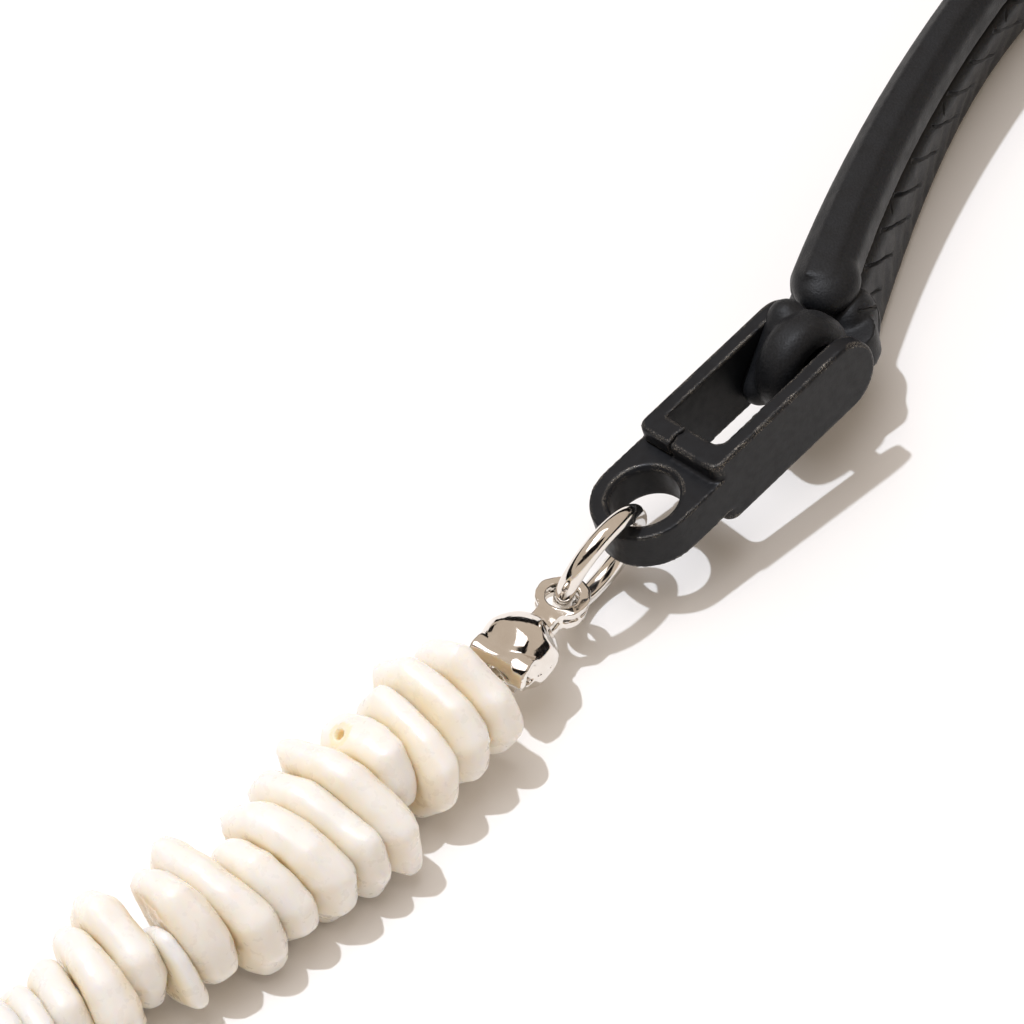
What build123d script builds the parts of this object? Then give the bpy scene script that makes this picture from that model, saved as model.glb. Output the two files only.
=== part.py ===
from build123d import *
import math
import os
import random

# A puka shell necklace, laid flat as one closed loop. Millimetres, +Z up, floor at zero.
# A string of drilled shell chips ends at both sides in a metal clamshell tip. A jump ring joins each
# tip to a black metal link, and the two links hold a black moulded arm between them.

# String of shell chips
STRING_HEIGHT = 3.6
CHIP_PITCH = 2.15
CHIP_GAP = 0.12
CHIP_LENGTH = 7.6
CHIP_WIDTH = 6.0
HOLE_ACROSS = 1.2
HOLE_SIDES = 6
THREAD_DIAMETER = 0.56
THREAD_SIDES = 5
KNOT_DIAMETER = 1.6
CHIPS_PER_THREAD_RUN = 2
SHOWN_CHIP_SIDES = 10
HIDDEN_CHIP_SIDES = 8
FLOOR = 0.0
TIP_TO_FIRST_CHIP = 3.4

# Route of the thread from one tip to the other, chosen by hand on the surface it lies on, in shares of
# ROUTE_SPAN. Each corner is rounded over ROUTE_ROUND_SHARE of its shorter side.
ROUTE_SPAN = 100.0
ROUTE_ROUND_SHARE = 0.45
STRING_ROUTE = [
    (0.005, -0.119), (-0.052, -0.192), (-0.106, -0.256), (-0.163, -0.306), (-0.226, -0.353),
    (-0.295, -0.410), (-0.362, -0.477), (-0.415, -0.559), (-0.438, -0.654), (-0.416, -0.752),
    (-0.346, -0.830), (-0.238, -0.874), (-0.100, -0.881), (0.060, -0.847), (0.220, -0.784),
    (0.380, -0.696), (0.530, -0.591), (0.670, -0.468), (0.794, -0.332), (0.894, -0.184),
    (0.969, -0.030), (1.014, 0.126), (1.024, 0.276), (0.998, 0.416), (0.934, 0.534),
    (0.844, 0.622), (0.733, 0.667),
]

# Bead tip, the clamshell at each end of the string
TIP_BALL_DIAMETER = 4.2
TIP_WALL = 0.35
TIP_SEAM = 0.12
TIP_REACH = 4.3
TIP_LOOP_OUTER = 3.0
TIP_LOOP_HOLE = 1.85
TIP_LOOP_THICKNESS = 0.45
TIP_LOOP_GAP = 0.14
TIP_FOLD_RADIUS = 0.95
TIP_FOLD_WIDTH = 3.5
TIP_FOLD_BACK = 1.58
TIP_FOLD_RISE = 0.5
TIP_MOUTH = 1.5
TIP_HINGE_WIDTH = 2.3
TIP_HINGE_HEIGHT = 2.0
TIP_LOOP_HEIGHT = 3.3

# Jump ring
RING_OUTER = 7.5
RING_WIRE = 1.1
RING_TILT = 11.5

# Black metal link: a round-ended tab with a hole, then a box frame with a slot between two side plates
LINK_WIDTH = 6.15
LINK_HOLE = 3.94
LINK_HOLE_TO_PIN = 12.95
LINK_TAB_THICKNESS = 2.45
LINK_TAB_DROP = 0.1
LINK_FRAME_HEIGHT = 4.5
LINK_FRAME_START = 2.87
LINK_BAR = 1.45
LINK_PLATE = 1.02
LINK_PIN_DIAMETER = 2.0
LINK_EDGE = 0.25
LINK_CORNER = 0.7
LINK_END_RADIUS = 2.2
LINK_SEAM = 0.1
LINK_SEAM_SIDE = 0.55
LINK_PITCH = 8.9
LINK_ROLL = -10.5
PIN_SEAT_DEPTH = 0.65
RUNNING_GAP = 0.1

# Moulded arm: a tall narrow bar on edge, curved in plan, with an eye at each end
ARM_LENGTH = 67.0
ARM_RADIUS = 120.0
ARM_HEIGHT = 8.6
ARM_EYE_DROP = 1.95
ARM_EYE_OUTER = 6.0
ARM_EYE_HOLE = 3.2
ARM_EYE_THICKNESS = 2.7
ARM_EYE_SET_BACK = 0.4
ARM_EYE_ROUND = 1.1
ARM_NECK_HEIGHT = 2.2
ARM_NECK_DROP = 2.1
ARM_NECK_OVERLAP = 0.3
ARM_BODY_START = 3.2
ARM_SECTIONS = 9
ARM_BACK_SIDE = 2.55
ARM_EDGE = 0.7
FOOT_SIDE_END = 2.35
FOOT_SIDE_MIDDLE = 0.1
PAD_SIDE_END = 1.42
PAD_SIDE_MIDDLE = 0.47
PAD_HEIGHT = 3.2
PAD_START = 4.3
PAD_NOSE_LENGTH = 0.9
PAD_NOSE_SIDE = 0.3
PAD_SHOULDER_SHARE = 0.07
PAD_CROWN_SHARE = 0.32
PAD_LOW_SHARE = 0.32
PAD_HIGH_SHARE = 0.73
GROOVE_WIDTH = 0.3
STROKE_SPACING = 2.1
STROKE_WIDTH = 0.55
STROKE_DEPTH = 0.22
STROKE_RISE_SHARE = 0.7
STROKE_SPREAD = 0.8
STROKE_CURL = 0.44

# Place of the arm's near eye in shares of ROUTE_SPAN, and the headings of arm, links, rings and tips
# there and at the far eye
NEAR_EYE = (0.1631, 0.0554)
NEAR_ARM_HEADING = 74.0
NEAR_HEADINGS = {"link": 46.0, "ring": 49.5, "tip": 57.0}
FAR_HEADINGS = {"link": 200.0, "ring": 185.0, "tip": 172.0}

# Chips that lie next to the near tip, in order. Pitch is a share of CHIP_PITCH, length of CHIP_LENGTH,
# width, side and rise of CHIP_WIDTH. Side and rise shift the chip on the thread, and tip is the slope
# of its long axis in degrees.
CHIP_COLUMNS = ("pitch", "length", "width", "tip", "side", "rise")
SHOWN_CHIPS = [
    (1.10, 0.93, 0.95, 45, -0.03, 0.07),
    (1.08, 1.05, 0.92, 18, 0.07, 0.06),
    (0.98, 0.99, 1.00, 14, 0.02, -0.05),
    (1.06, 0.76, 0.82, -8, 0.13, 0.06),
    (1.02, 1.32, 0.98, 22, 0.00, -0.03),
    (1.05, 1.19, 1.02, 6, 0.03, -0.10),
    (1.20, 1.10, 1.04, 11, 0.00, -0.14),
    (1.05, 0.83, 0.92, 27, -0.08, -0.10),
    (1.14, 1.19, 1.04, 15, 0.02, -0.06),
    (1.04, 0.98, 0.98, 50, 0.00, -0.04),
    (0.52, 0.68, 0.74, 60, -0.20, -0.10),
    (1.04, 0.92, 1.00, 15, 0.17, -0.06),
    (1.05, 0.92, 1.04, 6, -0.03, -0.10),
    (1.02, 0.71, 0.90, -6, -0.03, -0.12),
    (0.84, 0.75, 0.88, -13, -0.10, -0.12),
    (0.86, 0.78, 0.94, 2, -0.02, -0.08),
    (0.90, 0.72, 0.92, -3, -0.08, 0.04),
]
# The other chips are drawn from these ranges, in the same shares. The seeds keep each build the same.
CHIP_RANGES = {
    "pitch": (0.80, 1.20),
    "length": (0.74, 1.28),
    "width": (0.85, 1.08),
    "tip": (-20, 50),
    "side": (-0.12, 0.12),
    "rise": (-0.14, 0.06),
}
SIZE_SEED = 17
SHAPE_SEED = 5

# Form of a chip: the most that its faces lean, the share of its pitch that one wedge takes, the eased
# rim and flat face, how square its outline is, and how far its corners stray.
MAX_LEAN = 9.0
WEDGE_SHARE = 0.32
RIM_SHARE = 0.30
FACE_SHARE = 0.80
SQUARENESS = 2.7
PEBBLE = 0.07
CORNER_STRAY = 0.16


def unit(heading, pitch=0.0):
    """Unit vector along a heading in the plane and a pitch above it, in degrees."""
    level = math.cos(math.radians(pitch))
    return Vector(
        level * math.cos(math.radians(heading)),
        level * math.sin(math.radians(heading)),
        math.sin(math.radians(pitch)),
    )


def route_path(points):
    """The rounded route as a function of the distance along it, and its length."""
    pieces = []
    here = Vector(*points[0])
    for before, corner, after in zip(points, points[1:], points[2:]):
        before, corner, after = Vector(*before), Vector(*corner), Vector(*after)
        run_in, run_out = corner - before, after - corner
        shorter = min(run_in.length, run_out.length)
        turn = math.atan2(run_in.X * run_out.Y - run_in.Y * run_out.X, run_in.dot(run_out))
        trim = ROUTE_ROUND_SHARE * shorter
        radius = trim / math.tan(abs(turn) / 2)
        start = corner - run_in.normalized() * trim
        pieces.append(("run", here, (start - here).normalized(), (start - here).length))
        pieces.append(("arc", start, run_in.normalized(), radius * abs(turn), radius, math.copysign(1, turn)))
        here = corner + run_out.normalized() * trim
    end = Vector(*points[-1])
    pieces.append(("run", here, (end - here).normalized(), (end - here).length))
    total = sum(piece[3] for piece in pieces)

    def at(distance):
        """Point and unit direction of the thread at a distance from the first tip."""
        left = distance
        for index, piece in enumerate(pieces):
            if left <= piece[3] or index == len(pieces) - 1:
                break
            left -= piece[3]
        start, along = piece[1], piece[2]
        if piece[0] == "run":
            point, direction = start + along * left, along
        else:
            radius, side = piece[4], piece[5]
            angle = left / radius
            across = Vector(-along.Y, along.X) * side
            point = start + along * (radius * math.sin(angle)) + across * (radius * (1 - math.cos(angle)))
            direction = along * math.cos(angle) + across * math.sin(angle)
        return Vector(point.X, point.Y, STRING_HEIGHT), Vector(direction.X, direction.Y, 0)

    return at, total


def solid_from(polygons):
    """Closed solid from flat polygons, each a list of corners, or a pair of outline and hole."""
    faces = []
    for polygon in polygons:
        outline, holes = polygon if isinstance(polygon, tuple) else (polygon, [])
        inner = [Wire.make_polygon(hole, close=True) for hole in holes]
        faces.append(Face(Wire.make_polygon(outline, close=True), inner))
    solid = Solid(Shell(faces))
    if solid.volume < 0:
        solid = Solid(solid.wrapped.Reversed())
    return solid


def between_rings(first, second):
    """Quads that join two rings of as many corners."""
    count = len(first)
    return [
        [first[i], first[(i + 1) % count], second[(i + 1) % count], second[i]]
        for i in range(count)
    ]


def on_plane(point, direction, plane_point, plane_normal):
    """Where the line from a point along a direction meets a plane."""
    return point + direction * ((plane_point - point).dot(plane_normal) / direction.dot(plane_normal))


def leaned(direction, yaw, pitch):
    """The thread's direction turned about the vertical and then about the level cross axis."""
    turned = direction.rotate(Axis.Z, yaw)
    return turned.rotate(Axis((0, 0, 0), (direction.Y, -direction.X, 0)), pitch)


def shell_chip(centre, along, front, back, size, sides, rng):
    """One drilled chip between its front and back planes, each a point and a normal."""
    across = Vector(along.Y, -along.X, 0)
    up = Vector(0, 0, 1)
    tip = math.radians(size["tip"])
    half_length, half_width = size["length"] / 2, size["width"] / 2
    shift = rng.uniform(0, 2 * math.pi / sides)
    outline = []
    for i in range(sides):
        angle = shift + 2 * math.pi * (i + rng.uniform(-CORNER_STRAY, CORNER_STRAY)) / sides
        reach = (abs(math.cos(angle) / half_length) ** SQUARENESS
                 + abs(math.sin(angle) / half_width) ** SQUARENESS) ** (-1 / SQUARENESS)
        reach *= 1 + rng.uniform(-PEBBLE, PEBBLE)
        outline.append((
            size["side"] + reach * math.cos(angle + tip),
            size["rise"] + reach * math.sin(angle + tip),
        ))
    lowest = min(v for _, v in outline)
    lift = max(0.0, FLOOR - STRING_HEIGHT - lowest)
    lines = [centre + across * u + up * (v + lift) for u, v in outline]
    middle = centre + across * size["side"] + up * (size["rise"] + lift)

    rims = {}
    faces = {}
    for name, (near, far) in {"front": (front, back), "back": (back, front)}.items():
        rims[name] = []
        for corner in lines:
            outer = on_plane(corner, along, *near)
            inner = on_plane(corner, along, *far)
            rims[name].append(outer + (inner - outer) * RIM_SHARE)
        near_middle = on_plane(middle, along, *near)
        far_middle = on_plane(middle, along, *far)
        rim_middle = near_middle + (far_middle - near_middle) * RIM_SHARE
        apex = rim_middle + (near_middle - rim_middle) * (1 / (1 - FACE_SHARE))
        faces[name] = [on_plane(corner, apex - corner, *near) for corner in rims[name]]

    drill = []
    for i in range(HOLE_SIDES):
        angle = 2 * math.pi * i / HOLE_SIDES
        drill.append(centre + (across * math.cos(angle) + up * math.sin(angle)) * (HOLE_ACROSS / 2))
    holes = {
        "front": [on_plane(corner, along, *front) for corner in drill],
        "back": [on_plane(corner, along, *back) for corner in drill],
    }
    polygons = [(faces["front"], [holes["front"]]), (faces["back"], [holes["back"]])]
    polygons += between_rings(faces["front"], rims["front"])
    polygons += between_rings(rims["front"], rims["back"])
    polygons += between_rings(rims["back"], faces["back"])
    polygons += between_rings(holes["front"], holes["back"])
    return solid_from(polygons)


def chip_sizes(room):
    """Sizes of all chips along a stretch: the shown ones from the table, then seeded ones."""
    rng = random.Random(SIZE_SEED)
    shares = [dict(zip(CHIP_COLUMNS, row)) for row in SHOWN_CHIPS]
    left = room / CHIP_PITCH - sum(share["pitch"] for share in shares)
    drawn = [
        {name: rng.uniform(*CHIP_RANGES[name]) for name in CHIP_COLUMNS} for _ in range(round(left))
    ]
    fit = left / sum(share["pitch"] for share in drawn)
    for share in drawn:
        share["pitch"] *= fit
    return [
        {
            "pitch": share["pitch"] * CHIP_PITCH,
            "length": share["length"] * CHIP_LENGTH,
            "width": share["width"] * CHIP_WIDTH,
            "tip": share["tip"],
            "side": share["side"] * CHIP_WIDTH,
            "rise": share["rise"] * CHIP_WIDTH,
        }
        for share in shares + drawn
    ]


def string_of_chips(at, total):
    """The chips in order from the near tip, and the distances of the planes between them."""
    rng = random.Random(SHAPE_SEED)
    sizes = chip_sizes(total - 2 * TIP_TO_FIRST_CHIP)
    distance = TIP_TO_FIRST_CHIP
    point, direction = at(distance)
    plane = (point, direction)
    yaw = pitch = 0.0
    chips = []
    edges = [distance]
    for index, size in enumerate(sizes):
        half_length = size["length"] / 2
        limit = math.degrees(WEDGE_SHARE * size["pitch"] / half_length)
        yaw = max(-MAX_LEAN, min(MAX_LEAN, yaw + rng.uniform(-limit, limit)))
        pitch = max(-MAX_LEAN, min(MAX_LEAN, pitch + rng.uniform(-limit, limit)))
        centre, along = at(distance + size["pitch"] / 2)
        distance += size["pitch"]
        point, direction = at(distance)
        next_plane = (point, leaned(direction, yaw, pitch))
        front = (plane[0] + plane[1] * (CHIP_GAP / 2), plane[1])
        back = (next_plane[0] - next_plane[1] * (CHIP_GAP / 2), next_plane[1])
        sides = SHOWN_CHIP_SIDES if index < len(SHOWN_CHIPS) else HIDDEN_CHIP_SIDES
        chips.append(shell_chip(centre, along, front, back, size, sides, rng))
        plane = next_plane
        edges.append(distance)
    return chips, edges


def thread_solid(at, total, edges):
    """The thread, mitred from run to run, with a knot inside each tip."""
    knot = KNOT_DIAMETER / 2
    slack = THREAD_DIAMETER / 2
    stations = [(-knot, slack), (0.0, knot), (knot, slack)]
    stations += [(edge, slack) for edge in edges[::CHIPS_PER_THREAD_RUN]]
    if stations[-1][0] < edges[-1]:
        stations.append((edges[-1], slack))
    stations += [(total - knot, slack), (total, knot), (total + knot, slack)]
    first, first_way = at(0.0)
    last, last_way = at(total)

    def place(distance):
        if distance < 0:
            return first + first_way * distance
        if distance > total:
            return last + last_way * (distance - total)
        return at(distance)[0]

    points = [place(distance) for distance, _ in stations]
    rings = []
    for index, (_, radius) in enumerate(stations):
        before = points[max(index - 1, 0)]
        after = points[min(index + 1, len(points) - 1)]
        run_in = (points[index] - before) if index else (after - points[index])
        run_out = (after - points[index]) if index < len(points) - 1 else run_in
        run_in, run_out = run_in.normalized(), run_out.normalized()
        mitre = (run_in + run_out).normalized()
        across = Vector(run_in.Y, -run_in.X, 0)
        ring = []
        for side in range(THREAD_SIDES):
            angle = 2 * math.pi * side / THREAD_SIDES
            spoke = across * math.cos(angle) + Vector(0, 0, 1) * math.sin(angle)
            corner = points[index] + spoke * radius
            ring.append(on_plane(corner, run_in, points[index], mitre))
        rings.append(ring)
    polygons = [rings[0], rings[-1]]
    for one, other in zip(rings, rings[1:]):
        polygons += between_rings(one, other)
    return solid_from(polygons)


def ball_profile(radius, foot):
    """Quarter of a ball's section in the XZ plane, cut off below a height."""
    reach = math.sqrt(radius ** 2 - foot ** 2)
    shoulder = radius * math.sqrt(0.5)
    outline = Line((0, foot), (reach, foot))
    outline += ThreePointArc((reach, foot), (shoulder, shoulder), (0, radius))
    outline += Line((0, radius), (0, foot))
    return make_face(Plane.XZ * outline)


def tip_cup():
    """Upper cup of the tip with its neck and loop, open at the seam."""
    radius = TIP_BALL_DIAMETER / 2
    inside = radius - TIP_WALL
    height = (TIP_LOOP_GAP + TIP_LOOP_THICKNESS) / 2
    neck_start = radius - TIP_WALL / 2
    cup = revolve(ball_profile(radius, TIP_SEAM / 2), Axis.Z, 360)
    cup -= revolve(ball_profile(inside, 0), Axis.Z, 360)
    cup += Pos((neck_start + TIP_REACH) / 2, 0, height) * Box(
        TIP_REACH - neck_start, TIP_LOOP_OUTER / 2, TIP_LOOP_THICKNESS)
    cup += Pos(TIP_REACH, 0, height) * Cylinder(TIP_LOOP_OUTER / 2, TIP_LOOP_THICKNESS)
    return cup - Pos(TIP_REACH, 0, height) * Cylinder(TIP_LOOP_HOLE / 2, 3 * TIP_LOOP_THICKNESS)


def bead_tip():
    """Clamshell tip round the origin, mouth and fold towards -X, its two loops stacked at +X."""
    radius = TIP_BALL_DIAMETER / 2
    cup = tip_cup()
    hinge = Pos(-radius + TIP_WALL / 2, 0, 0) * Box(TIP_WALL, TIP_HINGE_WIDTH, TIP_HINGE_HEIGHT)
    fold = Rot(90, 0, 0) * (
        Cylinder(TIP_FOLD_RADIUS, TIP_FOLD_WIDTH)
        - Cylinder(TIP_FOLD_RADIUS - TIP_WALL, 2 * TIP_FOLD_WIDTH)
    )
    ball = Rot(90, 0, 0) * Sphere(radius - TIP_WALL)
    skin = Rot(90, 0, 0) * Sphere(radius - TIP_WALL / 2)
    tip = cup + cup.mirror(Plane.XY)
    tip = tip + (hinge - ball)
    tip = tip + (Pos(-TIP_FOLD_BACK, 0, TIP_FOLD_RISE) * fold - skin)
    return tip - Pos(-radius, 0, 0) * Rot(0, 90, 0) * Cylinder(TIP_MOUTH / 2, 2 * radius)


def jump_ring():
    """Ring of round wire in the local XZ plane."""
    return Rot(90, 0, 0) * Torus((RING_OUTER - RING_WIRE) / 2, RING_WIRE / 2)


def link_outer():
    """Tab and box frame of the link as one closed form, hole at the origin, slot towards +X."""
    end = LINK_HOLE_TO_PIN + LINK_FRAME_HEIGHT / 2
    half = LINK_WIDTH / 2
    tab_end = LINK_FRAME_START + LINK_BAR
    tab = Pos(0, 0, -LINK_TAB_DROP) * (
        Cylinder(half, LINK_TAB_THICKNESS)
        + Pos(tab_end / 2, 0, 0) * Box(tab_end, LINK_WIDTH, LINK_TAB_THICKNESS)
    )
    length = end - LINK_FRAME_START
    frame = Pos(LINK_FRAME_START + length / 2, 0, 0) * Box(length, LINK_WIDTH, LINK_FRAME_HEIGHT)
    upright = frame.edges().filter_by(Axis.Z).group_by(Axis.X)[0]
    frame = fillet(upright, LINK_CORNER)
    ends = frame.edges().filter_by(Axis.Y).group_by(Axis.X)[-1]
    frame = fillet(ends, LINK_END_RADIUS)
    frame = chamfer(frame.faces().sort_by(Axis.Z)[-1].outer_wire().edges(), LINK_EDGE / 2)
    return tab + frame


def link_slot():
    """Space between the side plates, open at the top, the bottom and the far end."""
    start = LINK_FRAME_START + LINK_BAR
    width = LINK_WIDTH - 2 * LINK_PLATE
    length = LINK_HOLE_TO_PIN + LINK_FRAME_HEIGHT - start
    room = Pos(start + length / 2, 0, 0) * Box(length, width, 2 * LINK_FRAME_HEIGHT)
    near_corner = room.edges().filter_by(Axis.Z).group_by(Axis.X)[0].sort_by(Axis.Y)[0]
    return fillet(near_corner, LINK_CORNER)


def link_hole():
    """Round hole of the tab, its rims eased."""
    tall = Pos(0, 0, -LINK_TAB_DROP)
    rim = LINK_TAB_THICKNESS / 2 - LINK_EDGE
    hole = Cylinder(LINK_HOLE / 2, 2 * LINK_TAB_THICKNESS)
    for side in (-1, 1):
        flare = Cone(LINK_HOLE / 2, LINK_HOLE / 2 + 2 * LINK_EDGE, 2 * LINK_EDGE)
        hole += Pos(0, 0, side * (rim + LINK_EDGE)) * Rot(0 if side > 0 else 180, 0, 0) * flare
    return tall * hole


def cheek_room(gap):
    """Room of the far plate with its half of the front bar, grown or shrunk by a gap."""
    tab_top = LINK_TAB_THICKNESS / 2 - LINK_TAB_DROP
    tab_foot = -LINK_TAB_THICKNESS / 2 - LINK_TAB_DROP
    tall = 2 * LINK_FRAME_HEIGHT
    bar_end = LINK_FRAME_START + LINK_BAR
    start = LINK_FRAME_START - LINK_BAR
    reach = 2 * LINK_HOLE_TO_PIN
    plate = Pos(bar_end - gap + reach / 2, LINK_WIDTH / 2, 0) * Box(reach, 3 * LINK_PLATE, tall)
    bar_length = 2 * LINK_BAR + 2 * gap
    bar = Pos(start + bar_length / 2 - gap, LINK_SEAM_SIDE - gap + LINK_WIDTH / 2, 0) * Box(
        bar_length, LINK_WIDTH, tall)
    knuckle = Pos(LINK_FRAME_START + LINK_BAR / 2, LINK_SEAM_SIDE - LINK_BAR / 2, 0) * Cylinder(
        LINK_BAR / 2 + LINK_SEAM - gap, 2 * tall)
    bar -= knuckle
    middle = tab_top - tab_foot + 2 * (LINK_SEAM - gap)
    bar -= Pos(0, 0, (tab_top + tab_foot) / 2) * Box(4 * bar_end, 4 * LINK_WIDTH, middle)
    return plate + bar


def link_pin():
    """Cross pin through the slot, seated in a blind hole in each side plate."""
    length = LINK_WIDTH - 2 * LINK_PLATE + 2 * (PIN_SEAT_DEPTH - RUNNING_GAP)
    return Pos(LINK_HOLE_TO_PIN, 0, 0) * Rot(90, 0, 0) * Cylinder(LINK_PIN_DIAMETER / 2, length)


def link_pin_seats():
    """Blind holes in the two plates for the pin."""
    length = LINK_WIDTH - 2 * LINK_PLATE + 2 * PIN_SEAT_DEPTH
    radius = LINK_PIN_DIAMETER / 2 + RUNNING_GAP / 2
    return Pos(LINK_HOLE_TO_PIN, 0, 0) * Rot(90, 0, 0) * Cylinder(radius, length)


def split_link():
    """The shown link: tab with near plate, and the far plate with its half of the front bar."""
    whole = link_outer() - link_slot() - link_hole() - link_pin_seats()
    return whole - cheek_room(LINK_SEAM), whole & cheek_room(0)


def plain_link():
    """The hidden end's link, one piece with its pin."""
    return link_outer() - link_slot() - link_hole() + link_pin()


def link_place(eye, heading):
    """Place of a link whose pin is at an arm's eye. Its X axis points to the arm and rises."""
    forward = unit(heading, LINK_PITCH)
    left = unit(heading + 90).rotate(Axis((0, 0, 0), forward), LINK_ROLL)
    plane = Plane(origin=(0, 0, 0), x_dir=forward, z_dir=forward.cross(left))
    origin = eye - forward * LINK_HOLE_TO_PIN
    return Plane(origin=origin, x_dir=plane.x_dir, z_dir=plane.z_dir)


def hardware_places(eye, headings):
    """Planes of link, ring and tip from an arm's eye outwards to the string."""
    link = link_place(eye, headings["link"])
    inside = RING_OUTER / 2 - RING_WIRE
    bulge = inside - math.sqrt(inside ** 2 - LINK_TAB_THICKNESS ** 2 / 4)
    seat = (LINK_HOLE - RING_WIRE) / 2 - bulge - 2 * RUNNING_GAP
    hold = link.origin - link.x_dir * seat - link.z_dir * LINK_TAB_DROP
    across = RING_OUTER - RING_WIRE
    fall = hold.Z - TIP_LOOP_HEIGHT
    way = unit(headings["ring"], math.degrees(math.asin(fall / across)))
    loops = hold - way * across
    side = Vector(way.Y, -way.X, 0).normalized().rotate(Axis((0, 0, 0), way), RING_TILT)
    ring = Plane(origin=(hold + loops) * 0.5, x_dir=way, z_dir=way.cross(side * -1))
    rise = math.degrees(math.asin((TIP_LOOP_HEIGHT - STRING_HEIGHT) / TIP_REACH))
    tip_way = unit(headings["tip"], rise)
    tip_left = unit(headings["tip"] + 90)
    tip = Plane(origin=loops - tip_way * TIP_REACH, x_dir=tip_way, z_dir=tip_way.cross(tip_left))
    return {"link": link, "ring": ring, "tip": tip}


def arm_section(kind, distance):
    """Outline of the arm's core or pad, as (side, height). Side grows towards the loop's inside."""
    middle = ARM_LENGTH / 2
    share = abs(distance - middle) / (middle - ARM_BODY_START)
    foot = FOOT_SIDE_MIDDLE + (FOOT_SIDE_END - FOOT_SIDE_MIDDLE) * share ** 2 * (3 - 2 * share)
    side = PAD_SIDE_MIDDLE + (PAD_SIDE_END - PAD_SIDE_MIDDLE) * share ** 2
    back = ARM_BACK_SIDE
    pad_foot = ARM_HEIGHT - PAD_HEIGHT
    if kind == "core":
        return [
            (-back + ARM_EDGE, FLOOR), (foot - ARM_EDGE, FLOOR), (foot, FLOOR + ARM_EDGE),
            (side + ARM_EDGE / 4, pad_foot - ARM_EDGE / 2), (side - ARM_EDGE / 2, pad_foot),
            (-back + ARM_EDGE / 2, pad_foot), (-back, pad_foot - ARM_EDGE), (-back, FLOOR + ARM_EDGE),
        ]
    gap = GROOVE_WIDTH / 3
    shoulder, crown = (side + back) * PAD_SHOULDER_SHARE, (side + back) * PAD_CROWN_SHARE
    low, high = pad_foot + PAD_HEIGHT * PAD_LOW_SHARE, pad_foot + PAD_HEIGHT * PAD_HIGH_SHARE
    return [
        (-back + ARM_EDGE / 2, pad_foot + gap), (side - ARM_EDGE, pad_foot + gap),
        (side, low), (side - shoulder, high), (side - crown, ARM_HEIGHT),
        (-back + crown, ARM_HEIGHT), (-back + shoulder, high), (-back, low),
    ]


def arm_point(distance, side=0.0, height=0.0):
    """Point of the arm at a distance from the near eye."""
    ahead = unit(NEAR_ARM_HEADING)
    centre = Vector(*NEAR_EYE) * ROUTE_SPAN + Vector(ahead.Y, -ahead.X) * ARM_RADIUS
    outward = unit(arm_heading(distance) + 90)
    return centre + outward * (ARM_RADIUS - side) + Vector(0, 0, height)


def arm_heading(distance):
    """Heading of the arm at a distance from the near eye."""
    return NEAR_ARM_HEADING - math.degrees(distance / ARM_RADIUS)


def arm_bar(kind, start, end):
    """Stretch of the arm's core or pad between two distances."""
    sections = []
    for i in range(ARM_SECTIONS):
        distance = start + (end - start) * i / (ARM_SECTIONS - 1)
        corners = [arm_point(distance, side, height) for side, height in arm_section(kind, distance)]
        sections.append(Wire.make_polygon(corners, close=True))
    return Solid.make_loft(sections, ruled=False)


def rounded_plan(start, end, back, front):
    """Tall body over a stretch of the arm between two sides of it, its ends round in plan."""
    width = back + front
    inset = width / 2
    side = (front - back) / 2
    arc = ThreePointArc(
        arm_point(start + inset, side), arm_point((start + end) / 2, side), arm_point(end - inset, side))
    return extrude(SlotArc(arc, width), 2 * ARM_HEIGHT)


def flank_strokes(start, end):
    """Slanted curved strokes pressed into the flank, a row along the arm."""
    strokes = []
    count = int((end - start) / STROKE_SPACING)
    for i in range(count):
        distance = start + (i + 0.5) * (end - start) / count
        low, high = arm_section("core", distance)[2:4]
        rise = high[1] - low[1]
        lean = math.degrees(math.atan2(low[0] - high[0], rise))
        tall = rise * STROKE_RISE_SHARE / 2
        heading = arm_heading(distance)
        outward = unit(heading - 90, lean)
        origin = arm_point(distance, (low[0] + high[0]) / 2, (low[1] + high[1]) / 2)
        plane = Plane(origin=origin + outward * (STROKE_WIDTH / 2 - STROKE_DEPTH),
                      x_dir=unit(heading), z_dir=outward)
        arc = plane * ThreePointArc((-STROKE_SPREAD, -tall), (STROKE_CURL, 0), (STROKE_SPREAD, tall))
        mouth = Plane(origin=arc @ 0, z_dir=arc % 0) * Circle(STROKE_WIDTH / 2)
        strokes.append(sweep(mouth, path=arc))
    return strokes


def arm_eye(link):
    """Eye ring and neck of the arm, in the slot of its link."""
    room = Plane(origin=link.origin + link.x_dir * LINK_HOLE_TO_PIN, x_dir=link.x_dir, z_dir=link.z_dir)
    thickness = ARM_EYE_THICKNESS
    ring = Rot(90, 0, 0) * Cylinder(ARM_EYE_OUTER / 2, thickness)
    ring = fillet(ring.edges().filter_by(GeomType.CIRCLE), ARM_EYE_ROUND)
    neck_length = ARM_BODY_START + ARM_NECK_OVERLAP + ARM_EYE_SET_BACK
    neck = Pos(neck_length / 2, 0, -ARM_NECK_DROP) * Box(neck_length, thickness, ARM_NECK_HEIGHT)
    neck += Pos(neck_length, 0, -ARM_NECK_DROP) * Cylinder(thickness / 2, ARM_NECK_HEIGHT)
    hole = Rot(90, 0, 0) * Cylinder(ARM_EYE_HOLE / 2, 2 * LINK_WIDTH)
    return room.location * Pos(-ARM_EYE_SET_BACK, 0, 0) * (ring + neck - hole)


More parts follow.
